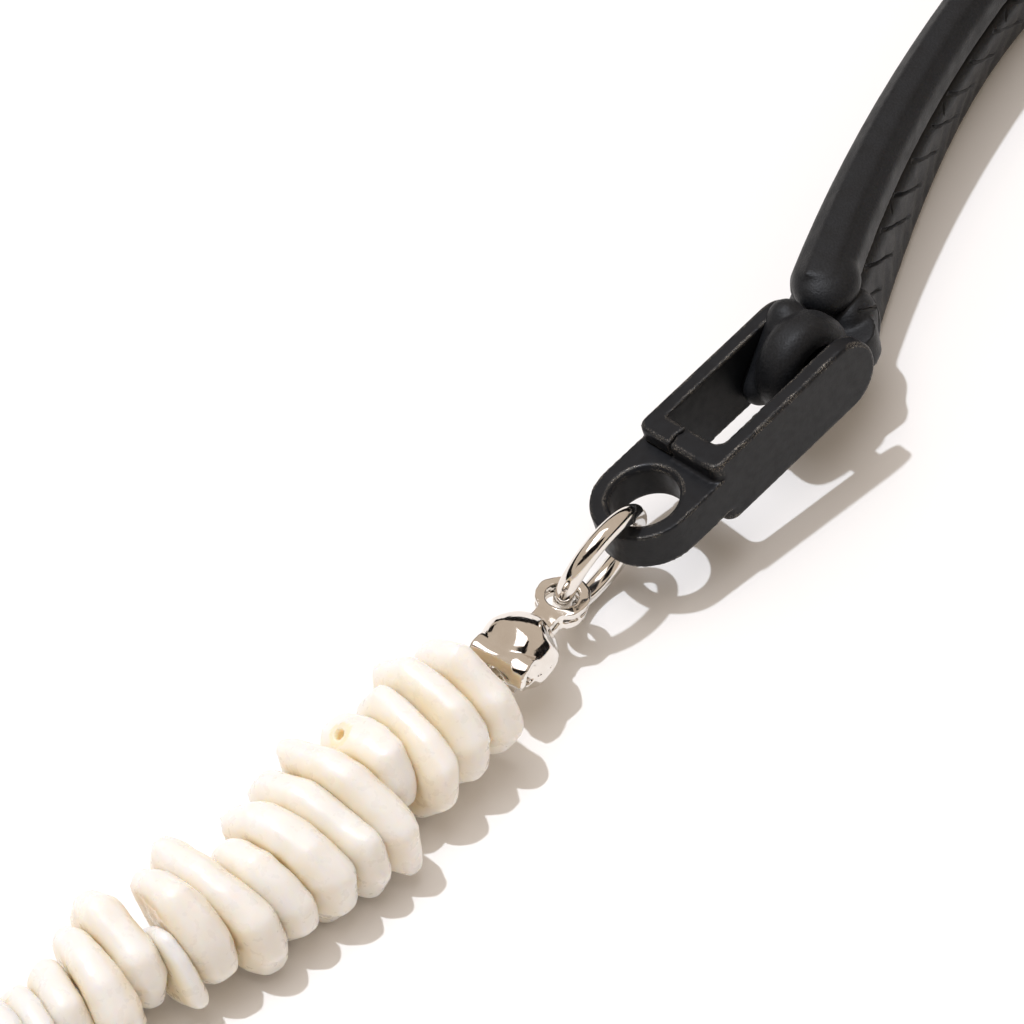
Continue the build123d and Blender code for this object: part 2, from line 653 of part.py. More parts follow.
def pad_plan(gap):
    """Plan of the pad grown by a gap. A narrower nose at each end runs ahead along the back."""
    start, end = PAD_START - gap, ARM_LENGTH - PAD_START + gap
    back = ARM_BACK_SIDE + gap
    nose = rounded_plan(start, end, back, PAD_NOSE_SIDE + gap)
    return nose + rounded_plan(start + PAD_NOSE_LENGTH, end - PAD_NOSE_LENGTH, back, PAD_SIDE_END + gap)


def moulded_arm(near_link, far_link):
    """The arm's core with its eyes and strokes, and the raised pad along its top."""
    start, end = ARM_BODY_START, ARM_LENGTH - ARM_BODY_START
    plan = rounded_plan(start, end, ARM_BACK_SIDE + ARM_EDGE, FOOT_SIDE_END + ARM_EDGE)
    core = arm_bar("core", start, end) & Pos(0, 0, -ARM_EDGE) * plan
    for stroke in flank_strokes(start + 2 * STROKE_SPACING, end - 2 * STROKE_SPACING):
        core -= stroke
    core += arm_eye(near_link)
    core += arm_eye(far_link)
    room = Pos(0, 0, ARM_HEIGHT - PAD_HEIGHT + GROOVE_WIDTH / 6) * pad_plan(GROOVE_WIDTH)
    pad = arm_bar("pad", PAD_START, ARM_LENGTH - PAD_START) & pad_plan(0)
    return core - room, pad


def build():
    """All nodes of the necklace by name, in the place where they lie."""
    near_eye = arm_point(0, 0, ARM_HEIGHT - ARM_EYE_DROP)
    far_eye = arm_point(ARM_LENGTH, 0, ARM_HEIGHT - ARM_EYE_DROP)
    near = hardware_places(near_eye, NEAR_HEADINGS)
    far = hardware_places(far_eye, FAR_HEADINGS)
    route = [(x * ROUTE_SPAN, y * ROUTE_SPAN) for x, y in STRING_ROUTE]
    route[0] = (near["tip"].origin.X, near["tip"].origin.Y)
    route[-1] = (far["tip"].origin.X, far["tip"].origin.Y)
    at, total = route_path(route)
    chips, edges = string_of_chips(at, total)
    half = len(chips) // 2
    body, cheek = split_link()
    core, pad = moulded_arm(near["link"], far["link"])
    nodes = {
        "shells_left": Compound(chips[:half]),
        "shells_right": Compound(chips[half:]),
        "thread": thread_solid(at, total, edges),
        "bead_tip_near": near["tip"].location * bead_tip(),
        "bead_tip_far": far["tip"].location * bead_tip(),
        "jump_ring_near": near["ring"].location * jump_ring(),
        "jump_ring_far": far["ring"].location * jump_ring(),
        "link_body": near["link"].location * body,
        "link_cheek": near["link"].location * cheek,
        "link_pin": near["link"].location * link_pin(),
        "link_rear": far["link"].location * plain_link(),
        "arm_core": core,
        "arm_pad": pad,
    }
    loop = total + ARM_LENGTH + 2 * (LINK_HOLE_TO_PIN + RING_OUTER + TIP_REACH)
    return nodes, loop, len(chips)


def main():
    nodes, loop, count = build()
    box = Compound(list(nodes.values())).bounding_box()
    shift = Pos(-box.center().X, -box.center().Y, 0)
    print("loop", round(loop, 1), "chips", count, "shift", shift.position)
    print("size", box.size, "lowest", round(box.min.Z, 3))
    os.makedirs("parts", exist_ok=True)
    for name, shape in nodes.items():
        export_step(shift * shape, f"parts/{name}.step")


main()
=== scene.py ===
import math
import random
import bpy
import numpy as np
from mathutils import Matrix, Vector


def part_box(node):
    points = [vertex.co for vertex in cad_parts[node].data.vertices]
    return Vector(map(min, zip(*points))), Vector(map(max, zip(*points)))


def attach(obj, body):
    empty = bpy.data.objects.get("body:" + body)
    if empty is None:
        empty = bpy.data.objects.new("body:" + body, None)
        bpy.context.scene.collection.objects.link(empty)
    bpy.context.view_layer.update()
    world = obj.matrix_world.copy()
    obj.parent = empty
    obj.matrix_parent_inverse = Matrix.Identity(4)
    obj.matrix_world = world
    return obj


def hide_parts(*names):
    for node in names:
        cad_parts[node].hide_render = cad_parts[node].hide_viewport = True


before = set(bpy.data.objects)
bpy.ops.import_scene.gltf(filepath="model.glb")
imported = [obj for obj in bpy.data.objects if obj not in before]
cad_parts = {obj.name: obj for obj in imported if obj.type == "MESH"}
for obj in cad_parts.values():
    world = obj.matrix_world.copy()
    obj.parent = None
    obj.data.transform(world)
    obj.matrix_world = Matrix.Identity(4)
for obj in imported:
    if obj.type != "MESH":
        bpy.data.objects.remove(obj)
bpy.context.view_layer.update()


# Table and light
# The necklace lies on white paper. A small hard lamp stands high at the left with a soft box round it, and
# the pale warm room fills the shadows. Dark cards round the table give the metal its dark streaks.

MM = 0.001
PAPER_SIDE = 6.0
PAPER_DROP = 0.02 * MM
PAPER_COLOUR = (0.93, 0.915, 0.89, 1)
PAPER_ROUGHNESS = 0.95
ROOM_COLOUR = (1.0, 0.84, 0.69, 1)
ROOM_STRENGTH = 0.62
LAMP_FROM = Vector((-0.33, 0.10, 1.0))
LAMP_SPREAD = math.radians(1.6)
LAMP_STRENGTH = 1.8
LAMP_COLOUR = (0.93, 0.98, 1.08)
BOX_PLACE = Vector((-0.16, 0.06, 0.92))
BOX_SIDE = 0.70
BOX_POWER = 2.6
BOX_COLOUR = (0.96, 0.96, 1.0)
# Heading and height in degrees, distance and size in metres
CARDS = (
    {"heading": 0, "height": 8, "distance": 0.62, "size": (1.1, 0.22)},
    {"heading": 90, "height": 8, "distance": 0.62, "size": (1.1, 0.22)},
    {"heading": 180, "height": 8, "distance": 0.62, "size": (1.1, 0.22)},
    {"heading": 270, "height": 52, "distance": 0.75, "size": (1.20, 0.46)},
)
CARD_COLOUR = (0.012, 0.011, 0.011, 1)
CARD_ROUGHNESS = 0.9


def deselect():
    bpy.ops.object.select_all(action="DESELECT")


def active_piece(name):
    """The object that the last operator made, under its own name."""
    piece = bpy.context.object
    piece.name = name
    piece.data.name = name
    return piece


def settle(piece):
    """Puts a piece's place, turn and size into its mesh."""
    deselect()
    piece.select_set(True)
    bpy.context.view_layer.objects.active = piece
    bpy.ops.object.transform_apply(location=True, rotation=True, scale=True)


def dull_paint(name, colour, roughness):
    """A material without gloss that is the same all over."""
    material = bpy.data.materials.new(name)
    material.use_nodes = True
    shader = material.node_tree.nodes["Principled BSDF"]
    shader.inputs["Base Color"].default_value = colour
    shader.inputs["Roughness"].default_value = roughness
    shader.inputs["Specular IOR Level"].default_value = 0
    return material


deselect()
bpy.ops.mesh.primitive_plane_add(size=PAPER_SIDE, location=(0, 0, -PAPER_DROP))
paper = active_piece("paper")
settle(paper)
paper.data.materials.append(dull_paint("white_paper", PAPER_COLOUR, PAPER_ROUGHNESS))

world = bpy.data.worlds.new("room")
bpy.context.scene.world = world
bpy.context.scene.view_settings.view_transform = "Standard"
world.use_nodes = True
world.node_tree.nodes["Background"].inputs["Color"].default_value = ROOM_COLOUR
world.node_tree.nodes["Background"].inputs["Strength"].default_value = ROOM_STRENGTH

bpy.ops.object.light_add(type="SUN", location=LAMP_FROM)
lamp = active_piece("lamp")
lamp.rotation_euler = LAMP_FROM.to_track_quat("Z", "Y").to_euler()
lamp.data.energy = LAMP_STRENGTH
lamp.data.angle = LAMP_SPREAD
lamp.data.color = LAMP_COLOUR

bpy.ops.object.light_add(type="AREA", location=BOX_PLACE)
soft_box = active_piece("soft_box")
soft_box.rotation_euler = BOX_PLACE.to_track_quat("Z", "Y").to_euler()
soft_box.data.size = BOX_SIDE
soft_box.data.energy = BOX_POWER
soft_box.data.color = BOX_COLOUR

dark_card = dull_paint("dark_card", CARD_COLOUR, CARD_ROUGHNESS)
for stand in CARDS:
    turn = math.radians(stand["heading"])
    rise = math.radians(stand["height"])
    place = stand["distance"] * Vector((
        math.cos(rise) * math.cos(turn), math.cos(rise) * math.sin(turn), math.sin(rise)))
    bpy.ops.mesh.primitive_plane_add(
        size=1, location=place, rotation=(math.pi / 2 - rise, 0, turn + math.pi / 2))
    card = active_piece("dark_card")
    card.scale = (*stand["size"], 1)
    settle(card)
    card.data.materials.append(dark_card)
    card.visible_camera = False


# Camera
# It looks away from the lower edge of the picture, from 50 degrees above the table, through a long lens.
# The middle of its view lies on the table, near the metal end of the string.

VIEW_CENTRE = Vector((-28.8408, 11.6365, 0)) * MM
VIEW_ELEVATION = math.radians(50)
VIEW_WIDTH = 56.89 * MM
VIEW_ANGLE = math.radians(10)
SENSOR_WIDTH = 36
CLIP_RANGE = (0.01, 20)

view_back = Vector((0, -math.cos(VIEW_ELEVATION), math.sin(VIEW_ELEVATION)))
view_distance = VIEW_WIDTH / 2 / math.tan(VIEW_ANGLE / 2)
bpy.ops.object.camera_add(location=VIEW_CENTRE + view_back * view_distance)
camera = active_piece("camera")
camera.rotation_euler = view_back.to_track_quat("Z", "Y").to_euler()
camera.data.sensor_width = SENSOR_WIDTH
camera.data.lens = SENSOR_WIDTH / 2 / math.tan(VIEW_ANGLE / 2)
camera.data.clip_start, camera.data.clip_end = CLIP_RANGE
bpy.context.scene.camera = camera


# Shell chips
# Each is a worn disc of white shell, tumbled until its rims are round and glossy, and drilled through.
# They sit face to face on the thread, 77 on one half of the string and 78 on the other.

MERGE_DISTANCE = 0.004 * MM
# The chips within reach of the near tip, which the camera sees, have finer faces than the others
FINE_REACH = 38 * MM
FINE_VOXEL = 0.20 * MM
PLAIN_VOXEL = 0.48 * MM
ROUNDING_FINE = 17
ROUNDING_PLAIN = 3
SWELLING = 0.10 * MM
DENT_SIZE = 3.2 * MM
DENT_DEPTH = 0.34 * MM
DENT_LEVEL = 0.62
RIPPLE_SIZE = 0.9 * MM
RIPPLE_DEPTH = 0.030 * MM
RIPPLE_LEVEL = 0.5
# A second hole that one chip has near its rim: a point over it, seen along the camera's view
EXTRA_HOLE = Vector((-37.95, -8.40, 5.7)) * MM
EXTRA_HOLE_RADIUS = 0.33 * MM
HOLE_SEARCH = 7 * MM
SIGHT_START = 20 * MM
SIGHT_LENGTH = 21.5 * MM
DRILL_LENGTH = 1.6 * MM
# The extra hole's inside gets painted yellow shade: round a point this deep under its mouth, out to these
# radii of the hole
HOLE_PAINTED_SHADE_DEPTH = 0.3 * MM
HOLE_PAINTED_SHADE_RADII = 2.2
# Painted shade, a yellow where two chips lie face to face: its gain over the faces, and its fall towards
# the rim
FACE_GAIN, FACE_START = 1.6, 0.6
RIM_LEVEL, RIM_FALL = 1.7, 1.5
TONE_SEED = 11
SHELL_WHITE = (0.875, 0.850, 0.820, 1)
SHELL_CREAM = (0.880, 0.822, 0.755, 1)
# The yellow is painted shade, for where chips lie face to face and inside the extra hole
SHELL_PAINTED_SHADE = (0.90, 0.755, 0.51, 1)
CLOUD_SIZE = 1.7 * MM
BAND_SIZE = 0.9 * MM
BAND_STRETCH = (1.0, 1.0, 0.35)
GLOSS_SIZE = 0.7 * MM
PIT_SIZE = 0.16 * MM
PIT_DEPTH = 0.006 * MM
TONE_SHARE = 0.45
CLOUD_SHARE = 0.55
BAND_SHARE = 0.30
# How strongly the painted yellow shade between chips shows
PAINTED_SHADE_SHARE = 0.8
GLOW = {"Subsurface_Weight": 0.85, "Subsurface_Radius": (1.0, 0.80, 0.55), "Subsurface_Scale": 1.8 * MM}
POLISH = {"Coat_Weight": 0.25, "Coat_Roughness": 0.09}


def shared_effect(name, inputs, outputs):
    """An empty node group with named inputs and outputs, for more than one material."""
    group = bpy.data.node_groups.new(name, "ShaderNodeTree")
    for label, kind in inputs:
        group.interface.new_socket(label, in_out="INPUT", socket_type=kind)
    for label, kind in outputs:
        group.interface.new_socket(label, in_out="OUTPUT", socket_type=kind)
    return group, group.nodes.new("NodeGroupInput"), group.nodes.new("NodeGroupOutput")


def lumps_in(group, start):
    """A noise whose lumps have the size that the group is given."""
    scale = group.nodes.new("ShaderNodeMath")
    scale.operation = "DIVIDE"
    scale.inputs[0].default_value = 1
    lumps = group.nodes.new("ShaderNodeTexNoise")
    group.links.new(start.outputs["Size"], scale.inputs[1])
    group.links.new(scale.outputs[0], lumps.inputs["Scale"])
    group.links.new(start.outputs["Place"], lumps.inputs["Vector"])
    group.links.new(start.outputs["Detail"], lumps.inputs["Detail"])
    return lumps


def make_clouds():
    """Soft patches from 0 to 1."""
    group, start, end = shared_effect("clouds", (
        ("Place", "NodeSocketVector"), ("Size", "NodeSocketFloat"),
        ("Detail", "NodeSocketFloat"), ("Roughness", "NodeSocketFloat"),
    ), (("Cloud", "NodeSocketFloat"),))
    lumps = lumps_in(group, start)
    group.links.new(start.outputs["Roughness"], lumps.inputs["Roughness"])
    group.links.new(lumps.outputs["Fac"], end.inputs["Cloud"])
    return group


def make_grain():
    """A fine grain, as values and as normals."""
    group, start, end = shared_effect("fine_grain", (
        ("Place", "NodeSocketVector"), ("Size", "NodeSocketFloat"), ("Detail", "NodeSocketFloat"),
        ("Depth", "NodeSocketFloat"), ("Strength", "NodeSocketFloat"),
    ), (("Grain", "NodeSocketFloat"), ("Normal", "NodeSocketVector")))
    relief = group.nodes.new("ShaderNodeBump")
    lumps = lumps_in(group, start)
    group.links.new(lumps.outputs["Fac"], relief.inputs["Height"])
    group.links.new(start.outputs["Depth"], relief.inputs["Distance"])
    group.links.new(start.outputs["Strength"], relief.inputs["Strength"])
    group.links.new(lumps.outputs["Fac"], end.inputs["Grain"])
    group.links.new(relief.outputs["Normal"], end.inputs["Normal"])
    return group


CLOUDS = make_clouds()
GRAIN = make_grain()


class Finish:
    """A material in the making: its Principled shader, and short ways to add nodes to it."""

    def __init__(self, name):
        self.material = bpy.data.materials.new(name)
        self.material.use_nodes = True
        self.tree = self.material.node_tree
        self.shader = self.tree.nodes["Principled BSDF"]

    def plain(self, **values):
        """Sets sockets of the shader that are the same all over. An underscore stands for a space."""
        for name, value in values.items():
            self.shader.inputs[name.replace("_", " ")].default_value = value

    def node(self, kind, sources, **values):
        """Adds a node, sets its properties, and gives its inputs other nodes' outputs or plain values."""
        made = self.tree.nodes.new(kind)
        for name, value in values.items():
            setattr(made, name, value)
        for name, source in sources.items():
            if isinstance(source, bpy.types.NodeSocket):
                self.tree.links.new(source, made.inputs[name])
            else:
                made.inputs[name].default_value = source
        return made

    def feed(self, name, output):
        self.tree.links.new(output, self.shader.inputs[name])

    def places(self):
        """Points of the piece in metres."""
        return self.node("ShaderNodeTexCoord", {}).outputs["Object"]

    def stored(self, name):
        """A value that the piece keeps for each of its points."""
        return self.node("ShaderNodeAttribute", {}, attribute_name=name).outputs["Fac"]

    def noise(self, size, detail=3.0, roughness=0.5, places=None):
        """Cloudy values from 0 to 1, with lumps of about that size."""
        return self.node("ShaderNodeGroup", {
            "Place": places or self.places(), "Size": size, "Detail": detail, "Roughness": roughness,
        }, node_tree=CLOUDS).outputs["Cloud"]

    def grain(self, size, detail, depth, strength):
        """Values and normals of a fine grain with lumps of that size, that deep in metres."""
        return self.node("ShaderNodeGroup", {
            "Place": self.places(), "Size": size, "Detail": detail, "Depth": depth, "Strength": strength,
        }, node_tree=GRAIN).outputs

    def spread(self, value, low, high, to_low=0.0, to_high=1.0):
        """Stretches a band of values to another, and holds it at both ends."""
        return self.node("ShaderNodeMapRange", {
            "Value": value, "From Min": low, "From Max": high, "To Min": to_low, "To Max": to_high,
        }).outputs["Result"]

    def math(self, operation, first, second):
        return self.node("ShaderNodeMath", {0: first, 1: second}, operation=operation).outputs["Value"]

    def blend(self, share, first, second):
        """Mixes two colours by a share that changes over the surface."""
        return self.node("ShaderNodeMix", {0: share, 6: first, 7: second}, data_type="RGBA").outputs[2]


def merged_copy(node, name):
    """A new object with a CAD node's mesh, its loose triangles merged at their corners."""
    deselect()
    piece = bpy.data.objects.new(name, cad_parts[node].data.copy())
    piece.data.name = name
    piece.data.materials.clear()
    bpy.context.scene.collection.objects.link(piece)
    piece.select_set(True)
    bpy.context.view_layer.objects.active = piece
    bpy.ops.object.mode_set(mode="EDIT")
    bpy.ops.mesh.select_all(action="SELECT")
    bpy.ops.mesh.remove_doubles(threshold=MERGE_DISTANCE)
    bpy.ops.mesh.normals_make_consistent(inside=False)
    bpy.ops.object.mode_set(mode="OBJECT")
    return piece


def join_to(piece, others):
    """Joins other objects to a piece."""
    deselect()
    for other in others:
        other.select_set(True)
    piece.select_set(True)
    bpy.context.view_layer.objects.active = piece
    bpy.ops.object.join()


def cloud_texture(name, size):
    texture = bpy.data.textures.new(name, "CLOUDS")
    texture.noise_scale = size
    texture.noise_depth = 2
    return texture


def roughen(piece, texture, depth, level):
    """Moves the surface in and out with a texture. Where it has the level, the surface stays."""
    modifier = piece.modifiers.new("roughen", "DISPLACE")
    modifier.texture = texture
    modifier.texture_coords = "GLOBAL"
    modifier.strength = depth
    modifier.mid_level = level


def remesh(piece, voxel):
    modifier = piece.modifiers.new("remesh", "REMESH")
    modifier.mode = "VOXEL"
    modifier.voxel_size = voxel
    modifier.use_smooth_shade = True


def soften(piece, times):
    modifier = piece.modifiers.new("soften", "SMOOTH")
    modifier.factor = 0.5
    modifier.iterations = times


def apply_all(pieces):
    """Applies every modifier of these pieces."""
    deselect()
    for piece in pieces:
        piece.select_set(True)
    bpy.context.view_layer.objects.active = pieces[0]
    bpy.ops.object.convert(target="MESH")


def middle_of(piece):
    return sum((corner.co for corner in piece.data.vertices), Vector()) / len(piece.data.vertices)


def painted_shade_between_chips(chip):
    """Painted shade between the neighbours: how deep each point lies between them, 1 at the middle of a
    chip's faces, 0 at its rim.
    """
    points = np.empty(3 * len(chip.data.vertices))
    chip.data.vertices.foreach_get("co", points)
    points = points.reshape(-1, 3)
    points -= points.mean(0)
    _, axes = np.linalg.eigh(np.cov(points.T))
    thin = axes[:, 0]
    normals = np.array([corner.normal for corner in chip.data.vertices])
    facing = np.abs(normals @ thin)
    reach = np.linalg.norm(points - np.outer(points @ thin, thin), axis=1)
    between = np.clip(facing * FACE_GAIN - FACE_START, 0, 1)
    return between * np.clip(RIM_LEVEL - RIM_FALL * reach / reach.max(), 0, 1)


def store(piece, name, values):
    """Keeps a value for each point of a piece, for its material to read."""
    attribute = piece.data.attributes.new(name, "FLOAT", "POINT")
    attribute.data.foreach_set("value", values)


def drill_extra_hole(chip):
    """Drills the extra hole if this chip lies under it, and gives a point just under the place where it was
    drilled, round which the hole's inside is painted with yellow shade.
    """
    if (middle_of(chip) - EXTRA_HOLE).length > HOLE_SEARCH:
        return None
    start = EXTRA_HOLE + SIGHT_START * view_back
    hit, point, normal, _ = chip.ray_cast(start, -view_back, distance=SIGHT_LENGTH)
    if not hit:
        return None
    bpy.ops.mesh.primitive_cylinder_add(
        vertices=32, radius=EXTRA_HOLE_RADIUS, depth=DRILL_LENGTH, location=point,
        rotation=(normal + view_back).to_track_quat("Z", "Y").to_euler())
    drill = active_piece("drill")
    cut = chip.modifiers.new("hole", "BOOLEAN")
    cut.operation = "DIFFERENCE"
    cut.object = drill
    apply_all([chip])
    bpy.data.objects.remove(drill)
    return point - HOLE_PAINTED_SHADE_DEPTH * normal


def tumble(chip):
    """Rounds a chip, swells it a little, and dents it as wear does."""
    near = (middle_of(chip) - tip_middle).length < FINE_REACH
    remesh(chip, FINE_VOXEL if near else PLAIN_VOXEL)
    soften(chip, ROUNDING_FINE if near else ROUNDING_PLAIN)
    swell = chip.modifiers.new("swell", "DISPLACE")
    swell.strength = SWELLING
    swell.mid_level = 0
    roughen(chip, dents, DENT_DEPTH, DENT_LEVEL)
    roughen(chip, ripples, RIPPLE_DEPTH, RIPPLE_LEVEL)


def shell_string(node, name):
    """The chips of one half of the string, tumbled round and joined as one piece."""
    merged_copy(node, name)
    bpy.ops.object.mode_set(mode="EDIT")
    bpy.ops.mesh.select_all(action="SELECT")
    bpy.ops.mesh.separate(type="LOOSE")
    bpy.ops.object.mode_set(mode="OBJECT")
    chips = list(bpy.context.selected_objects)
    for chip in chips:
        tumble(chip)
    apply_all(chips)
    for chip in chips:
        hole = drill_extra_hole(chip)
        # Painted shade between the chips, kept as a value for each point
        painted_shade_shares = painted_shade_between_chips(chip)
        # The extra hole's inside gets the full painted shade
        if hole is not None:
            corners = np.array([corner.co for corner in chip.data.vertices])
            from_hole = np.linalg.norm(corners - np.array(hole), axis=1)
            painted_shade_shares[from_hole < HOLE_PAINTED_SHADE_RADII * EXTRA_HOLE_RADIUS] = 1
        store(chip, "tone", [tones.random()] * len(chip.data.vertices))
        store(chip, "painted_shade", painted_shade_shares)
    join_to(chips[0], chips[1:])
    bpy.ops.object.shade_smooth()
    return active_piece(name)


tip_low, tip_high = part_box("bead_tip_near")
tip_middle = (tip_low + tip_high) / 2
dents = cloud_texture("shell_dents", DENT_SIZE)
ripples = cloud_texture("shell_ripples", RIPPLE_SIZE)
tones = random.Random(TONE_SEED)

shell = Finish("shell")
clouds = shell.spread(shell.noise(CLOUD_SIZE, 4, 0.6), 0.35, 0.7, 0, CLOUD_SHARE)
warmth = shell.math("ADD", shell.math("MULTIPLY", shell.stored("tone"), TONE_SHARE), clouds)
body = shell.blend(warmth, SHELL_WHITE, SHELL_CREAM)
stretched = shell.node("ShaderNodeMapping", {"Vector": shell.places(), "Scale": BAND_STRETCH})
bands = shell.noise(BAND_SIZE, 2, 0.5, stretched.outputs["Vector"])
body = shell.blend(shell.spread(bands, 0.50, 0.75, 0, BAND_SHARE), body, SHELL_CREAM)
# Painted shade: the chips turn yellow where they lie face to face and inside the extra hole
body = shell.blend(shell.spread(shell.stored("painted_shade"), 0.10, 0.9, 0, PAINTED_SHADE_SHARE), body, SHELL_PAINTED_SHADE)
shell.feed("Base Color", body)
shell.feed("Roughness", shell.spread(shell.noise(GLOSS_SIZE), 0.3, 0.7, 0.22, 0.42))
shell.feed("Normal", shell.grain(PIT_SIZE, 2, PIT_DEPTH, 0.3)["Normal"])
shell.plain(**GLOW, **POLISH)
for node in ("shells_left", "shells_right"):
    string = shell_string(node, node.replace("shells", "shell_string"))
    string.data.materials.append(shell.material)
    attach(string, "root")
    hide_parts(node)


# Thread
# A thin twisted white cord that the chips are strung on. It goes through every chip, and its knotted
# ends sit inside the two metal tips.

STRAND_SIZE = 0.12 * MM
STRAND_DEPTH = 0.04 * MM
THREAD_COLOUR = (0.80, 0.75, 0.66, 1)
THREAD_SHADE = (0.62, 0.55, 0.44, 1)
THREAD_ROUGHNESS = 0.85

thread = merged_copy("thread", "thread_cord")
bpy.ops.object.shade_smooth()
twisted_cord = Finish("cotton_cord")
strands = twisted_cord.grain(STRAND_SIZE, 2, STRAND_DEPTH, 1)
twisted_cord.feed("Base Color", twisted_cord.blend(strands["Grain"], THREAD_SHADE, THREAD_COLOUR))
twisted_cord.feed("Normal", strands["Normal"])
twisted_cord.plain(Roughness=THREAD_ROUGHNESS)
thread.data.materials.append(twisted_cord.material)
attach(thread, "root")
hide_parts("thread")


# Bead tips
# Each is a thin nickel-plated clamshell, two cups pressed shut over the end knot. Pressing has dented the
# ball all over. A strap folds round at the shell side, and two flat loops lie together at the other.

BALL_CENTRES = {"near": (-28.46, -1.07, 3.6), "far": (45.84, 77.92, 3.6)}
BALL_RADIUS = 2.0 * MM
TIP_VOXEL = 0.060 * MM
TIP_ROUNDING = 3
TIP_FACET_SIZE = 1.9 * MM
TIP_FACET_DEPTH = 0.40 * MM
TIP_FACET_LEVEL = 0.5
TIP_FACET_ROUNDING = 5
SCUFF_SIZE = 0.09 * MM
SCUFF_DEPTH = 0.002 * MM
TARNISH_SIZE = 1.1 * MM
SHINE_SIZE = 0.35 * MM
NICKEL_DULL = (0.70, 0.66, 0.61, 1)
NICKEL_BRIGHT = (0.86, 0.84, 0.81, 1)

nickel = Finish("nickel")
nickel.feed("Base Color", nickel.blend(nickel.noise(TARNISH_SIZE, 4, 0.6), NICKEL_DULL, NICKEL_BRIGHT))
nickel.feed("Roughness", nickel.spread(nickel.noise(SHINE_SIZE, 4), 0.35, 0.75, 0.05, 0.16))
nickel.feed("Normal", nickel.grain(SCUFF_SIZE, 2, SCUFF_DEPTH, 0.5)["Normal"])
nickel.plain(Metallic=1.0)
tip_facets = bpy.data.textures.new("tip_facets", "VORONOI")
tip_facets.noise_scale = TIP_FACET_SIZE
for side in ("near", "far"):
    tip = merged_copy(f"bead_tip_{side}", f"tip_{side}")
    bpy.ops.mesh.primitive_uv_sphere_add(
        segments=48, ring_count=24, radius=BALL_RADIUS, location=Vector(BALL_CENTRES[side]) * MM)
    join_to(tip, [active_piece("ball")])
    remesh(tip, TIP_VOXEL)
    soften(tip, TIP_ROUNDING)
    roughen(tip, tip_facets, TIP_FACET_DEPTH, TIP_FACET_LEVEL)
    soften(tip, TIP_FACET_ROUNDING)
    apply_all([tip])
    bpy.ops.object.shade_smooth()
    tip.data.materials.append(nickel.material)
    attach(tip, "root")
    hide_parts(f"bead_tip_{side}")


# Jump rings
# Each is round wire bent to a circle and plated with nickel. It holds the two loops of a tip in the
# round hole of the link.

for side in ("near", "far"):
    ring = merged_copy(f"jump_ring_{side}", f"ring_{side}")
    bpy.ops.object.shade_smooth()
    ring.data.materials.append(nickel.material)
    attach(ring, "root")
    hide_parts(f"jump_ring_{side}")


# Links
# Cast metal with a satin black finish, rubbed bright in tiny spots along its edges. A round-ended tab
# takes the jump ring, and a slot between two side plates takes the arm's eye on a cross pin.

LINK_VOXEL = 0.09 * MM
LINK_ROUNDING = 4
REAR_VOXEL = 0.12 * MM
REAR_ROUNDING = 3
EDGE_RADIUS = 0.32 * MM
PATCH_SIZE = 1.3 * MM
WORN_SPOT = 0.035 * MM
WORN_STRETCH = 1.4 * MM
SHEEN_SIZE = 0.5 * MM
CAST_GRAIN_SIZE = 0.10 * MM
CAST_GRAIN_DEPTH = 0.012 * MM
METAL_BLACK = (0.0048, 0.0054, 0.0070, 1)
METAL_GREY = (0.0095, 0.0105, 0.0128, 1)
METAL_BARE = (0.72, 0.65, 0.54, 1)
METAL_GLARE = 0.22


def edge_shares(piece):
    """How sharp the surface turns outwards at each point: 0 on flats and in corners, 1 on an outer edge."""
    count = len(piece.data.vertices)
    points, normals = np.empty(3 * count), np.empty(3 * count)
    piece.data.vertices.foreach_get("co", points)
    piece.data.vertices.foreach_get("normal", normals)
    points, normals = points.reshape(-1, 3), normals.reshape(-1, 3)
    pairs = np.empty(2 * len(piece.data.edges), dtype=int)
    piece.data.edges.foreach_get("vertices", pairs)
    first, second = pairs.reshape(-1, 2).T
    steps = points[first] - points[second]
    turn = ((normals[first] - normals[second]) * steps).sum(1) / (steps ** 2).sum(1)
    total = np.bincount(first, turn, count) + np.bincount(second, turn, count)
    number = np.bincount(first, minlength=count) + np.bincount(second, minlength=count)
    return np.clip(total / number * EDGE_RADIUS, 0, 1)


cast_black = Finish("cast_black")
patches = cast_black.noise(PATCH_SIZE, 4, 0.6)
edge = cast_black.spread(cast_black.stored("edge"), 0.15, 0.45)
spots = cast_black.spread(cast_black.noise(WORN_SPOT, 2, 0.7), 0.58, 0.66)
rubbed = cast_black.spread(cast_black.noise(WORN_STRETCH, 2), 0.42, 0.60)
bare = cast_black.math("MULTIPLY", edge, cast_black.math("MULTIPLY", spots, rubbed))
black = cast_black.blend(patches, METAL_BLACK, METAL_GREY)
cast_black.feed("Base Color", cast_black.blend(bare, black, METAL_BARE))
cast_black.feed("Metallic", bare)
cast_black.feed("Roughness", cast_black.spread(cast_black.noise(SHEEN_SIZE, 4), 0.3, 0.7, 0.34, 0.50))
cast_black.feed("Normal", cast_black.grain(CAST_GRAIN_SIZE, 3, CAST_GRAIN_DEPTH, 0.6)["Normal"])
cast_black.plain(Specular_IOR_Level=METAL_GLARE)

